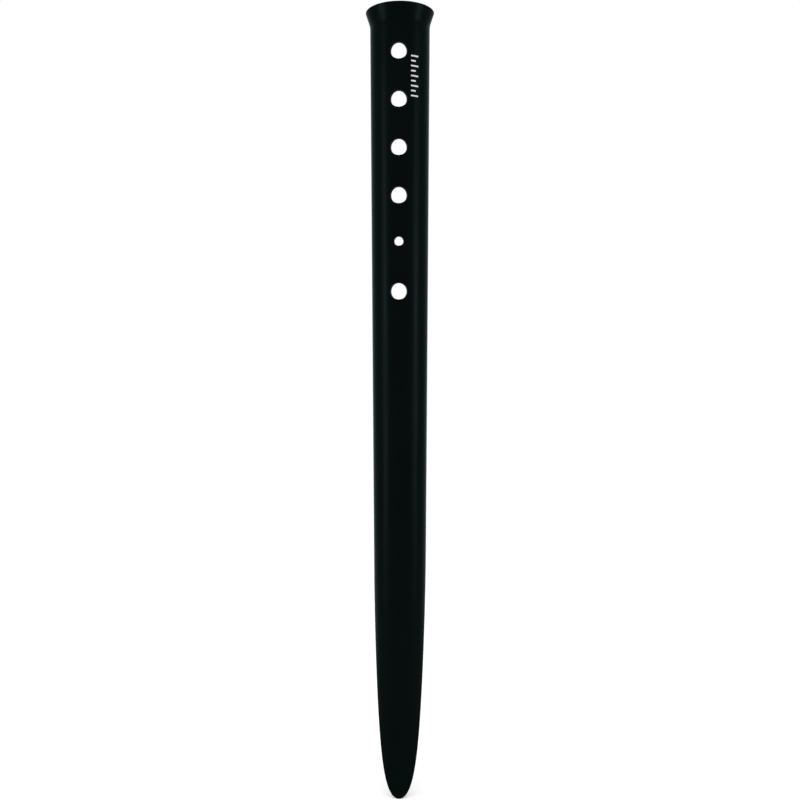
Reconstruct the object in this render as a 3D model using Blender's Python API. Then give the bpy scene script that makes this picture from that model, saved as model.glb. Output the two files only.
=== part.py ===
"""A snow peg: one sheet of aluminium alloy, punched flat, rolled to a half round and flared at the head.

The peg stands on its point, with +Z up its length. Its convex side faces -Y, and both of its long rims lie
in one plane that faces +Y. The origin is under the point, at the middle of the peg's width and depth.

The sheet starts as the flat blank that is punched. There X is the distance across the blank, from the spine,
Y is the depth below its outer face and Z is the height. Rolling then bends X round the peg's axis.
"""

import math

import bmesh
import bpy
from mathutils import Vector
from mathutils.geometry import interpolate_bezier

# Driving sizes, in metres and radians.
LENGTH = 0.320
WALL = 0.0015
POINT_RADIUS = 0.0100  # outside radius of the half round, level with the point
NECK_RADIUS = 0.0123  # outside radius of the half round, just under the head
LIP_RADIUS = 0.0142  # outside radius of the flared lip
FLARE_HEIGHT = 0.0056
NECK_BLEND = 0.0012  # half the height over which the shaft curves into the flare
HEAD_CORNER = 0.0008  # rounding of the blank's two upper corners

# The blank's point. Each edge leaves the tip level, curves up to the shoulder and turns there into the
# long side.
SHOULDER_HEIGHT = 0.095
SHOULDER_LEAN = math.radians(5.3)  # how far the edge still leans inwards where it comes up to the shoulder
SHOULDER_BLEND = 0.010  # how far the rounding of the shoulder reaches, each way
SHOULDER_PULL = 0.052  # how strongly the curve keeps to its direction under the shoulder
TIP_PULL = 0.0088  # and the same at the tip

# The row of holes down the spine, counted from the head.
HOLE_COUNT = 6
SMALL_HOLE = 5
FIRST_HOLE_DROP = 0.0191  # from the striking face to the first centre
HOLE_PITCH = 0.0193
SMALL_HOLE_LIFT = 0.0008  # the small hole sits this much nearer the head than its turn in the row
CORD_HOLE_RADIUS = 0.0033
SMALL_HOLE_RADIUS = 0.00185

# How finely the round shapes are cut into facets.
ROLL_STEPS = 36
BLEND_STEPS = 4
POINT_STEPS = 32
SHOULDER_STEPS = 4
CORNER_STEPS = 4
HOLE_STEPS = 24
TOUCHING = 1e-7  # corners nearer than this to a cut lie on it

NECK_HEIGHT = LENGTH - FLARE_HEIGHT
AXIS_DEPTH = LIP_RADIUS / 2  # Y of the peg's axis and its rims, which centres its depth on the origin


def shaft_radius(height):
    """Outside radius of the straight taper that the flare rises from."""
    return POINT_RADIUS + (NECK_RADIUS - POINT_RADIUS) * height / NECK_HEIGHT


def outside_radius(height):
    """Outside radius of the peg: the straight taper, a short blend at the neck, then the straight flare."""
    flare_slope = (LIP_RADIUS - shaft_radius(LENGTH)) / FLARE_HEIGHT
    above_neck = height - NECK_HEIGHT
    if above_neck <= -NECK_BLEND:
        return shaft_radius(height)
    if above_neck >= NECK_BLEND:
        return shaft_radius(height) + flare_slope * above_neck
    return shaft_radius(height) + flare_slope * (above_neck + NECK_BLEND) ** 2 / (4 * NECK_BLEND)


def middle_radius(height):
    """Radius of the middle of the sheet's thickness."""
    return outside_radius(height) - WALL / 2


ROLL_RADIUS = middle_radius(SHOULDER_HEIGHT)  # the blank is as wide as the half round is long here
BLANK_HALF_WIDTH = math.pi / 2 * ROLL_RADIUS  # a quarter turn on each side of the spine


def point_edge():
    """The right edge of the blank's point, from the tip to just above the shoulder."""
    tip = Vector((0, 0))
    shoulder = Vector((BLANK_HALF_WIDTH, SHOULDER_HEIGHT))
    leaning = Vector((math.sin(SHOULDER_LEAN), math.cos(SHOULDER_LEAN)))
    under_shoulder = shoulder - SHOULDER_BLEND * leaning
    over_shoulder = shoulder + Vector((0, SHOULDER_BLEND))
    tip_pull = tip + Vector((TIP_PULL, 0))
    shoulder_pull = under_shoulder - SHOULDER_PULL * leaning
    curve = interpolate_bezier(tip, tip_pull, shoulder_pull, under_shoulder, POINT_STEPS + 1)
    rounding = interpolate_bezier(under_shoulder, shoulder, shoulder, over_shoulder, SHOULDER_STEPS + 1)
    return [(point.x, point.y) for point in curve + rounding[1:]]


def head_corner():
    """The rounding of the blank's upper right corner, from the side to the top."""
    corner = []
    for step in range(CORNER_STEPS + 1):
        turn = math.radians(90) * step / CORNER_STEPS
        across = BLANK_HALF_WIDTH - HEAD_CORNER * (1 - math.cos(turn))
        height = LENGTH - HEAD_CORNER * (1 - math.sin(turn))
        corner.append((across, height))
    return corner


def blank_outline():
    """The blank's edge as (across, height) points: from the tip up the right side, then down the left."""
    right = point_edge() + head_corner()
    left = [(-across, height) for across, height in reversed(right[1:])]
    return right + left


def hole_outline(height, radius):
    """A punched hole's edge, drawn so that it is round once the sheet is rolled."""
    half_width = radius * ROLL_RADIUS / middle_radius(height)
    turns = [2 * math.pi * step / HOLE_STEPS for step in range(HOLE_STEPS)]
    return [(half_width * math.cos(turn), height + radius * math.sin(turn)) for turn in turns]


def hole_outlines():
    """The row of holes, from the head down."""
    outlines = []
    for number in range(1, HOLE_COUNT + 1):
        height = LENGTH - FIRST_HOLE_DROP - (number - 1) * HOLE_PITCH
        if number == SMALL_HOLE:
            outlines.append(hole_outline(height + SMALL_HOLE_LIFT, SMALL_HOLE_RADIUS))
        else:
            outlines.append(hole_outline(height, CORD_HOLE_RADIUS))
    return outlines


def punched_blank():
    """The flat blank with its holes, as thick as the sheet."""
    blank = bmesh.new()
    for outline in [blank_outline(), *hole_outlines()]:
        corners = [blank.verts.new((across, 0, height)) for across, height in outline]
        for before, after in zip(corners, corners[1:] + corners[:1]):
            blank.edges.new((before, after))
    bmesh.ops.triangle_fill(blank, use_beauty=True, use_dissolve=True, edges=blank.edges[:])
    thickened = bmesh.ops.extrude_face_region(blank, geom=blank.faces[:])
    inner_corners = [corner for corner in thickened["geom"] if isinstance(corner, bmesh.types.BMVert)]
    bmesh.ops.translate(blank, verts=inner_corners, vec=(0, WALL, 0))
    return blank


def slice_blank(blank):
    """Cuts the blank along every line where the rolled sheet has to bend."""
    strip = 2 * BLANK_HALF_WIDTH / ROLL_STEPS
    ring = 2 * NECK_BLEND / BLEND_STEPS
    cuts = [((step * strip - BLANK_HALF_WIDTH, 0, 0), (1, 0, 0)) for step in range(1, ROLL_STEPS)]
    cuts += [((0, 0, NECK_HEIGHT - NECK_BLEND + step * ring), (0, 0, 1)) for step in range(BLEND_STEPS + 1)]
    for place, normal in cuts:
        everything = blank.verts[:] + blank.edges[:] + blank.faces[:]
        bmesh.ops.bisect_plane(blank, geom=everything, dist=TOUCHING, plane_co=place, plane_no=normal)


def rolled(flat):
    """Where a point of the flat blank lies once the sheet is rolled and flared."""
    angle = flat.x / ROLL_RADIUS
    radius = outside_radius(flat.z) - flat.y
    return Vector((radius * math.sin(angle), AXIS_DEPTH - radius * math.cos(angle), flat.z))


def black_anodised_aluminium():
    material = bpy.data.materials.new("black_anodised_aluminium")
    material.use_nodes = True
    shader = material.node_tree.nodes["Principled BSDF"]
    shader.inputs["Base Color"].default_value = (0.004, 0.005, 0.005, 1)
    shader.inputs["Metallic"].default_value = 1.0
    shader.inputs["Roughness"].default_value = 0.45
    return material


def peg_body():
    """The whole peg, rolled from its punched blank."""
    sheet = punched_blank()
    slice_blank(sheet)
    for corner in sheet.verts:
        corner.co = rolled(corner.co)
    bmesh.ops.recalc_face_normals(sheet, faces=sheet.faces)
    mesh = bpy.data.meshes.new("peg_body")
    sheet.to_mesh(mesh)
    sheet.free()
    mesh.shade_smooth()
    mesh.set_sharp_from_angle(angle=math.radians(30))
    mesh.materials.append(black_anodised_aluminium())
    body = bpy.data.objects.new("peg_body", mesh)
    bpy.context.scene.collection.objects.link(body)


for leftover in list(bpy.data.objects):
    bpy.data.objects.remove(leftover)
peg_body()
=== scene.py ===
import math

import bmesh
import bpy
from mathutils import Matrix, Vector
from mathutils.geometry import interpolate_bezier


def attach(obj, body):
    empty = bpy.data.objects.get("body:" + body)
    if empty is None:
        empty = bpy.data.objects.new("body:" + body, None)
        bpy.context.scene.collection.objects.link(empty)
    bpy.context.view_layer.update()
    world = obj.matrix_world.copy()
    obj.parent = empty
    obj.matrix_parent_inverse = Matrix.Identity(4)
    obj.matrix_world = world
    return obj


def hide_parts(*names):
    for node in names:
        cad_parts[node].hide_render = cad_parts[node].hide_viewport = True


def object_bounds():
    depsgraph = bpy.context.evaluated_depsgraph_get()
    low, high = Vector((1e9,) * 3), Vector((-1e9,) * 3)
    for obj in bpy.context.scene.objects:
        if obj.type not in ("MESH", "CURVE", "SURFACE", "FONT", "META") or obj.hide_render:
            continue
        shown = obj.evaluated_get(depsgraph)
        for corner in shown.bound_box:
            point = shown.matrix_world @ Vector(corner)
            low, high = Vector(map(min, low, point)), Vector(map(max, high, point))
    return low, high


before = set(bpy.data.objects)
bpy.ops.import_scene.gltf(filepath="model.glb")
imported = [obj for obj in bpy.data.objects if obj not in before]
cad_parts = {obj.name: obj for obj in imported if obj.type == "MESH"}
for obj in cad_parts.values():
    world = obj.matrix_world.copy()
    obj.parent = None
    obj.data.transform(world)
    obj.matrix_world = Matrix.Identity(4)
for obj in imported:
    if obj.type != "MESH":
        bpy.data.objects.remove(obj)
cad_low, cad_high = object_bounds()

# Camera. It stands level with the middle of the peg and a little to its right, so close that the head is
# seen from below and the lip's edge shows as an arc. Here and below, lengths are in metres.
CAMERA_DISTANCE = 0.420
CAMERA_TURN = math.radians(2.5)
CAMERA_HEIGHT = 0.1607
CAMERA_LENS = 45.82  # mm, on the 36 mm sensor
axis_depth = cad_high.y  # the axis that the sheet is rolled round lies level with the rims


def add_object(name, data):
    """Adds an object to the scene."""
    added = bpy.data.objects.new(name, data)
    bpy.context.scene.collection.objects.link(added)
    return added


camera = add_object("camera", bpy.data.cameras.new("camera"))
camera.location = (
    CAMERA_DISTANCE * math.sin(CAMERA_TURN),
    axis_depth - CAMERA_DISTANCE * math.cos(CAMERA_TURN),
    CAMERA_HEIGHT,
)
camera.rotation_euler = (math.radians(90), 0, CAMERA_TURN)
camera.data.lens = CAMERA_LENS
bpy.context.scene.camera = camera

# Peg. One piece of 1.5 mm aluminium alloy sheet: punched flat with its row of holes, tumbled until its edges
# are round, pressed to a half round, flared at the head and anodised black. It is modelled flat first, with X
# across the blank from the spine, Y the depth below its outer face and Z its height.
LENGTH = cad_high.z
WALL = 0.0015
POINT_RADIUS = 0.0100  # outside radius of the half round, level with the point
NECK_RADIUS = 0.0123  # outside radius of the half round, just under the head
LIP_RADIUS = cad_high.y - cad_low.y
FLARE_HEIGHT = 0.0056
NECK_BLEND = 0.0012  # half the height over which the shaft curves into the flare
HEAD_CORNER = 0.0008  # rounding of the blank's two upper corners
SHOULDER_HEIGHT = 0.095  # where the point's curved edge turns into the long side
SHOULDER_LEAN = math.radians(5.3)  # how far the edge still leans inwards there
SHOULDER_BLEND = 0.010  # how far the rounding of the shoulder reaches, each way
SHOULDER_PULL = 0.052  # how strongly the curve keeps to its direction under the shoulder
TIP_PULL = 0.0088  # and the same at the tip
EDGE_ROUNDING = 0.0003
neck_height = LENGTH - FLARE_HEIGHT

# The row of holes down its spine, counted from the head.
HOLE_COUNT = 6
SMALL_HOLE = 5
FIRST_HOLE_DROP = 0.0191  # from the striking face to the first centre
HOLE_PITCH = 0.0193
SMALL_HOLE_LIFT = 0.0008  # the small hole sits this much nearer the head than its turn in the row
CORD_HOLE_RADIUS = 0.0033
SMALL_HOLE_RADIUS = 0.00185
HOLE_ROUNDING = 0.00012  # tumbling hardly reaches the edges of the holes

# How finely the sheet is cut, and what counts there as square, touching and straight.
POINT_STEPS = 72
SHOULDER_STEPS = 8
CORNER_SEGMENTS = 6
HOLE_SEGMENTS = 48
EDGE_SEGMENTS = 4
HOLE_EDGE_SEGMENTS = 3
STRIP_COUNT = 68  # strips across the blank, 2.6 degrees each, with no cut close along the side of a hole
SLICE_COUNT = 160  # slices along the blank, 2 mm each
BLEND_SLICES = 8
SQUARE_EDGE = math.radians(60)  # the least turn between two faces at an edge that gets rounded
TOUCHING = 6e-5  # corners nearer than this to a cut lie on it
MERGING = 3e-5  # corners nearer than this to each other become one
STRAIGHT = math.radians(175)  # a facet's corner that is wider than this lies in a straight side


def shaft_radius(height):
    """Outside radius of the straight taper that the flare rises from."""
    return POINT_RADIUS + (NECK_RADIUS - POINT_RADIUS) * height / neck_height


def outside_radius(height):
    """Outside radius of the peg: the straight taper, a short blend at the neck, then the straight flare."""
    flare_slope = (LIP_RADIUS - shaft_radius(LENGTH)) / FLARE_HEIGHT
    above_neck = height - neck_height
    if above_neck <= -NECK_BLEND:
        return shaft_radius(height)
    if above_neck >= NECK_BLEND:
        return shaft_radius(height) + flare_slope * above_neck
    return shaft_radius(height) + flare_slope * (above_neck + NECK_BLEND) ** 2 / (4 * NECK_BLEND)


roll_radius = outside_radius(SHOULDER_HEIGHT) - WALL / 2
blank_half_width = math.pi / 2 * roll_radius


def draw_outline(blank):
    """Draws the blank's edge: the curved point, the shoulders, the long sides and the two head corners."""
    shoulder = Vector((blank_half_width, SHOULDER_HEIGHT))
    leaning = Vector((math.sin(SHOULDER_LEAN), math.cos(SHOULDER_LEAN)))
    under_shoulder = shoulder - SHOULDER_BLEND * leaning
    over_shoulder = shoulder + Vector((0, SHOULDER_BLEND))
    tip_pull = Vector((TIP_PULL, 0))
    shoulder_pull = under_shoulder - SHOULDER_PULL * leaning
    point = interpolate_bezier(Vector((0, 0)), tip_pull, shoulder_pull, under_shoulder, POINT_STEPS + 1)
    rounding = interpolate_bezier(under_shoulder, shoulder, shoulder, over_shoulder, SHOULDER_STEPS + 1)
    right = point + rounding[1:] + [Vector((blank_half_width, LENGTH))]
    corners = [blank.verts.new((across, 0, height)) for across, height in right]
    corners += [blank.verts.new((-across, 0, height)) for across, height in reversed(right[1:])]
    blank.faces.new(corners)
    head_corners = [corner for corner in corners if corner.co.z > LENGTH - TOUCHING]
    bmesh.ops.bevel(
        blank, geom=head_corners, offset=HEAD_CORNER, segments=CORNER_SEGMENTS, profile=0.5,
        affect="VERTICES", material=-1,
    )
    bmesh.ops.delete(blank, geom=blank.faces[:], context="FACES_ONLY")


def draw_holes(blank):
    """Draws the row of holes, each a little out of round, so that pressing the sheet makes it round."""
    punched = blank.verts.layers.int.new("punched")  # 1 at the corners of a hole
    for number in range(1, HOLE_COUNT + 1):
        height = LENGTH - FIRST_HOLE_DROP - (number - 1) * HOLE_PITCH
        radius = CORD_HOLE_RADIUS
        if number == SMALL_HOLE:
            height += SMALL_HOLE_LIFT
            radius = SMALL_HOLE_RADIUS
        stretch = roll_radius / (outside_radius(height) - WALL / 2)
        place = Matrix.Translation((0, 0, height)) @ Matrix.Rotation(math.radians(90), 4, "X")
        squeeze = Matrix.Diagonal((stretch, 1, 1, 1))
        hole = bmesh.ops.create_circle(blank, segments=HOLE_SEGMENTS, radius=radius, matrix=place @ squeeze)
        for corner in hole["verts"]:
            corner[punched] = 1


def thicken(flat, depth):
    """Gives a flat shape its thickness, inwards from its outer face."""
    thickened = bmesh.ops.extrude_face_region(flat, geom=flat.faces[:])
    inner_corners = [corner for corner in thickened["geom"] if isinstance(corner, bmesh.types.BMVert)]
    bmesh.ops.translate(flat, verts=inner_corners, vec=(0, depth, 0))


def round_edges(blank, in_hole, offset, segments):
    """Rounds the edges of the holes or those of the blank, on both faces, and returns the new facets.

    The face strengths that it sets tell the peg's modifier that the sheet leads and the rounding follows.
    """
    punched = blank.verts.layers.int["punched"]
    arrises = []
    for edge in blank.edges:
        if edge.calc_face_angle(0) > SQUARE_EDGE and bool(edge.verts[0][punched]) == in_hole:
            arrises.append(edge)
    made = bmesh.ops.bevel(
        blank, geom=arrises, offset=offset, segments=segments, profile=0.5,
        affect="EDGES", material=-1, face_strength_mode="ALL",
    )
    return made["faces"]


def mark_rounding(blank, rounding):
    """Marks the corners that lie within the rounding of an edge, where the finish is thinnest."""
    arris = blank.verts.layers.float.new("arris")
    for corner in blank.verts:
        corner[arris] = float(all(face in rounding for face in corner.link_faces))


def slice_blank(blank):
    """Cuts the blank into narrow strips across, and slices along, so that it can bend."""
    strip = 2 * blank_half_width / STRIP_COUNT
    ring = 2 * NECK_BLEND / BLEND_SLICES
    cuts = [((step * strip - blank_half_width, 0, 0), (1, 0, 0)) for step in range(1, STRIP_COUNT)]
    heights = [step * neck_height / SLICE_COUNT for step in range(1, SLICE_COUNT)]
    heights += [neck_height - NECK_BLEND + step * ring for step in range(BLEND_SLICES + 1)]
    cuts += [((0, 0, height), (0, 0, 1)) for height in heights]
    for place, normal in cuts:
        everything = blank.verts[:] + blank.edges[:] + blank.faces[:]
        bmesh.ops.bisect_plane(blank, geom=everything, dist=TOUCHING, plane_co=place, plane_no=normal)


def even_facets(blank):
    """Merges corners that the cuts left side by side, and divides each facet that has a corner in a side."""
    bmesh.ops.dissolve_degenerate(blank, dist=MERGING, edges=blank.edges[:])
    uneven = []
    for face in blank.faces:
        if any(corner.calc_angle() > STRAIGHT for corner in face.loops):
            uneven.append(face)
    bmesh.ops.triangulate(blank, faces=uneven, quad_method="BEAUTY", ngon_method="BEAUTY")


def press(flat):
    """Bends a flat shape as the peg is pressed round and flared, and points its faces outwards."""
    for corner in flat.verts:
        angle = corner.co.x / roll_radius
        radius = outside_radius(corner.co.z) - corner.co.y
        corner.co.x = radius * math.sin(angle)
        corner.co.y = axis_depth - radius * math.cos(angle)
    bmesh.ops.recalc_face_normals(flat, faces=flat.faces)


def add_shape(name, shape):
    """Adds a finished shape to the scene as a mesh object."""
    mesh = bpy.data.meshes.new(name)
    shape.to_mesh(mesh)
    shape.free()
    return add_object(name, mesh)


sheet = bmesh.new()
draw_outline(sheet)
draw_holes(sheet)
bmesh.ops.triangle_fill(sheet, use_beauty=True, use_dissolve=True, edges=sheet.edges[:])
thicken(sheet, WALL)
outline_facets = round_edges(sheet, in_hole=False, offset=EDGE_ROUNDING, segments=EDGE_SEGMENTS)
hole_facets = round_edges(sheet, in_hole=True, offset=HOLE_ROUNDING, segments=HOLE_EDGE_SEGMENTS)
mark_rounding(sheet, set(outline_facets + hole_facets))
slice_blank(sheet)
even_facets(sheet)
press(sheet)
peg = add_shape("rolled_peg", sheet)
peg.data.shade_smooth()
even_shading = peg.modifiers.new("even_shading", "WEIGHTED_NORMAL")
even_shading.mode = "CORNER_ANGLE"
even_shading.use_face_influence = True  # beside a rounding, the sheet shades as if it went on smoothly


def linear(hex_colour):
    """An sRGB hex colour as the linear colour that a shader takes."""
    channels = [int(hex_colour[start : start + 2], 16) / 255 for start in (1, 3, 5)]
    light = [value / 12.92 if value <= 0.04045 else ((value + 0.055) / 1.055) ** 2.4 for value in channels]
    return (*light, 1)


def add_node(tree, kind, sockets, **settings):
    """Adds a node. Each socket, by its name or number, takes a value or another node's output."""
    node = tree.nodes.new(kind)
    for name, value in settings.items():
        setattr(node, name, value)
    for name, value in sockets.items():
        socket = node.inputs[name]
        if isinstance(value, bpy.types.NodeSocket):
            tree.links.new(value, socket)
        else:
            socket.default_value = value
    return node


# Black anodised aluminium: rolled sheet, etched to a satin and dyed black. The dye swallows nearly all the
# light, and what is left is a dull sheen, drawn out along the peg by the marks of the rolling mill.
DEEP_DYE = "#050909"
THIN_DYE = "#080D0D"
BARE_EDGE = "#2A2E2E"  # the film is thinner round the edges, and the metal shows through it
CLOUD_SIZE = 0.018  # patches where the dye took a little more or less
ROLLING_LINE = 0.0008  # across a mill mark. Real ones are finer, and this is as coarse as it takes to show
ROLLING_LENGTH = 0.060  # along a mill mark
ROLLING_DEPTH = 0.000010
ETCH_GRAIN = 0.00025  # coarser than the real one too
ETCH_DEPTH = 0.000004
CLOUD_DETAIL, ROLLING_DETAIL, ETCH_DETAIL = 4, 3, 2  # how many times each pattern repeats at half the size
SATIN_LOW, SATIN_HIGH = 0.30, 0.42
FAINT_LINE, STRONG_LINE = 0.3, 0.7  # the noise values that the two roughnesses belong to
GRAZING_SHEEN = "#C2C8C8"  # the dyed film dulls what bare metal would throw back at a low angle

anodised = bpy.data.materials.new("black_anodised_aluminium")
anodised.use_nodes = True
tree = anodised.node_tree
metal = tree.nodes["Principled BSDF"]
metal.inputs["Metallic"].default_value = 1
metal.inputs["Specular Tint"].default_value = linear(GRAZING_SHEEN)
position = add_node(tree, "ShaderNodeTexCoord", {}).outputs["Object"]
clouds = add_node(
    tree, "ShaderNodeTexNoise", {"Vector": position, "Scale": 1 / CLOUD_SIZE, "Detail": CLOUD_DETAIL}
)
drawn_out = add_node(
    tree, "ShaderNodeMapping", {"Vector": position, "Scale": (1, 1, ROLLING_LINE / ROLLING_LENGTH)}
).outputs["Vector"]
lines = add_node(
    tree, "ShaderNodeTexNoise", {"Vector": drawn_out, "Scale": 1 / ROLLING_LINE, "Detail": ROLLING_DETAIL}
)
etch = add_node(
    tree, "ShaderNodeTexNoise", {"Vector": position, "Scale": 1 / ETCH_GRAIN, "Detail": ETCH_DETAIL}
)
# A Mix node's sockets go by number: 0 is its factor, 6 and 7 are its two colours, and output 2 is their mix.
dye = add_node(
    tree, "ShaderNodeMix", {0: clouds.outputs["Fac"], 6: linear(DEEP_DYE), 7: linear(THIN_DYE)},
    data_type="RGBA",
)
arris = add_node(tree, "ShaderNodeAttribute", {}, attribute_name="arris")
thinned = add_node(
    tree, "ShaderNodeMath", {0: arris.outputs["Fac"], 1: clouds.outputs["Fac"]}, operation="MULTIPLY"
)
film = add_node(
    tree, "ShaderNodeMix", {0: thinned.outputs["Value"], 6: dye.outputs[2], 7: linear(BARE_EDGE)},
    data_type="RGBA",
)
satin = add_node(
    tree, "ShaderNodeMapRange", {
        "Value": lines.outputs["Fac"], "From Min": FAINT_LINE, "From Max": STRONG_LINE,
        "To Min": SATIN_LOW, "To Max": SATIN_HIGH,
    },
)
etched = add_node(tree, "ShaderNodeBump", {"Height": etch.outputs["Fac"], "Distance": ETCH_DEPTH})
milled = add_node(
    tree, "ShaderNodeBump",
    {"Height": lines.outputs["Fac"], "Distance": ROLLING_DEPTH, "Normal": etched.outputs["Normal"]},
)
tree.links.new(film.outputs[2], metal.inputs["Base Color"])
tree.links.new(satin.outputs["Result"], metal.inputs["Roughness"])
tree.links.new(milled.outputs["Normal"], metal.inputs["Normal"])
peg.data.materials.append(anodised)

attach(peg, "root")
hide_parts("peg_body")

# Printed scale. A ladder of plain white ticks beside the first two holes, pad-printed on the anodised face in
# ink a few hundredths of a millimetre thick.
TICK_COUNT = 9
TICK_PITCH = 0.0020
TICK_WEIGHT = 0.0006
LONG_TICK = 0.0027
SHORT_TICK = 0.0017
TICK_FACETS = 8  # along each tick, so that it bends with the sheet
FIRST_TICK_DROP = 0.0210  # from the striking face to the uppermost tick
SCALE_TURN = math.radians(24)  # the ticks start this far round from the spine
INK_THICKNESS = 0.00003
INK_BITE = 0.00001  # how far the ink reaches into the film's pores
UNIT_GRID = 0.5  # the size that makes the operator's grid 1 wide and 1 high

upright = Matrix.Rotation(math.radians(90), 4, "X")
ladder_side = SCALE_TURN * roll_radius
ink_film = bmesh.new()
for number in range(TICK_COUNT):
    height = LENGTH - FIRST_TICK_DROP - number * TICK_PITCH
    width = LONG_TICK if number % 2 == 0 else SHORT_TICK
    place = Matrix.Translation((ladder_side + width / 2, -INK_THICKNESS, height))
    size = Matrix.Diagonal((width, TICK_WEIGHT, 1, 1))
    bmesh.ops.create_grid(
        ink_film, x_segments=TICK_FACETS, y_segments=1, size=UNIT_GRID, matrix=place @ upright @ size
    )
thicken(ink_film, INK_THICKNESS + INK_BITE)
press(ink_film)
printed_scale = add_shape("printed_scale", ink_film)

# White pad-printing ink: an opaque resin ink, stamped on with a soft pad, that dries matt. Its white is a
# little uneven, because the ink is thinner where the sheet's grain is high.
INK_WHITE = "#E4E6E4"
INK_THIN = "#C4C8C6"
INK_MOTTLE = 0.0004
MOTTLE_DETAIL = 2
INK_ROUGHNESS = 0.6

ink = bpy.data.materials.new("white_pad_printing_ink")
ink.use_nodes = True
tree = ink.node_tree
print_shader = tree.nodes["Principled BSDF"]
print_shader.inputs["Roughness"].default_value = INK_ROUGHNESS
position = add_node(tree, "ShaderNodeTexCoord", {}).outputs["Object"]
mottle = add_node(
    tree, "ShaderNodeTexNoise", {"Vector": position, "Scale": 1 / INK_MOTTLE, "Detail": MOTTLE_DETAIL}
)
cover = add_node(
    tree, "ShaderNodeMix", {0: mottle.outputs["Fac"], 6: linear(INK_WHITE), 7: linear(INK_THIN)},
    data_type="RGBA",
)
tree.links.new(cover.outputs[2], print_shader.inputs["Base Color"])
printed_scale.data.materials.append(ink)
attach(printed_scale, "root")

# Studio. A wide sheet of white paper under the peg, a white room around it, one broad soft lamp overhead and
# two upright strip lamps that draw a dull line down each side of the half round.
WHITE = (1, 1, 1, 1)
FLOOR_RADIUS = 3.0
FLOOR_SEGMENTS = 96
PAPER_WHITE = "#F2F2F2"
PAPER_ROUGHNESS = 0.9
PAPER_LIFT = 0.34  # what the camera sees the paper give back besides the lamps' light
ROOM_LIGHT = 0.35
OVERHEAD_LIGHT = 1.5
OVERHEAD_TILT = math.radians(25)
OVERHEAD_SPREAD = math.radians(60)
STRIP_WIDTH, STRIP_HEIGHT = 0.06, 0.5
STRIP_CLEARANCE = 0.02  # from the paper to the strip's lower end
STRIP_DISTANCE = 0.8
STRIP_POWER = 2.0
STRIP_TURNS = (math.radians(-62), math.radians(70))  # round the peg's axis, from its front

paper = bmesh.new()
bmesh.ops.create_circle(paper, segments=FLOOR_SEGMENTS, radius=FLOOR_RADIUS, cap_ends=True)
floor = add_shape("paper_floor", paper)


def seen_rays(tree):
    """1 for the rays that look at a surface: from the camera, off metal and through glass."""
    rays = add_node(tree, "ShaderNodeLightPath", {}).outputs
    seen = rays["Is Camera Ray"]
    for kind in ("Is Glossy Ray", "Is Transmission Ray"):
        either = add_node(tree, "ShaderNodeMath", {0: seen, 1: rays[kind]}, operation="MAXIMUM")
        seen = either.outputs["Value"]
    return seen


# White paper: matt, with no gloss at all. It gives off a little light of its own, but only to the rays that
# look at it, so the floor comes out white and the light that falls on the peg stays plain.
white_paper = bpy.data.materials.new("white_paper")
white_paper.use_nodes = True
tree = white_paper.node_tree
paper_shader = tree.nodes["Principled BSDF"]
paper_shader.inputs["Base Color"].default_value = linear(PAPER_WHITE)
paper_shader.inputs["Roughness"].default_value = PAPER_ROUGHNESS
paper_shader.inputs["Specular IOR Level"].default_value = 0
paper_shader.inputs["Emission Color"].default_value = WHITE
lift = add_node(tree, "ShaderNodeMath", {0: seen_rays(tree), 1: PAPER_LIFT}, operation="MULTIPLY")
tree.links.new(lift.outputs["Value"], paper_shader.inputs["Emission Strength"])
floor.data.materials.append(white_paper)

room = bpy.data.worlds.new("white_room")
room.use_nodes = True
bpy.context.scene.world = room
room_light = add_node(
    room.node_tree, "ShaderNodeMapRange",
    {"Value": seen_rays(room.node_tree), "To Min": ROOM_LIGHT, "To Max": 1},
)
background = room.node_tree.nodes["Background"]
background.inputs["Color"].default_value = WHITE
room.node_tree.links.new(room_light.outputs["Result"], background.inputs["Strength"])

overhead = add_object("overhead_lamp", bpy.data.lights.new("overhead_lamp", "SUN"))
overhead.data.energy = OVERHEAD_LIGHT
overhead.data.angle = OVERHEAD_SPREAD
overhead.rotation_euler = (OVERHEAD_TILT, 0, 0)
for turn in STRIP_TURNS:
    strip = add_object("strip_lamp", bpy.data.lights.new("strip_lamp", "AREA"))
    strip.data.shape = "RECTANGLE"
    strip.data.size = STRIP_WIDTH
    strip.data.size_y = STRIP_HEIGHT
    strip.data.energy = STRIP_POWER
    strip.location = (
        STRIP_DISTANCE * math.sin(turn),
        axis_depth - STRIP_DISTANCE * math.cos(turn),
        STRIP_CLEARANCE + STRIP_HEIGHT / 2,
    )
    strip.rotation_euler = (math.radians(90), 0, turn)
bpy.context.scene.view_settings.view_transform = "Standard"
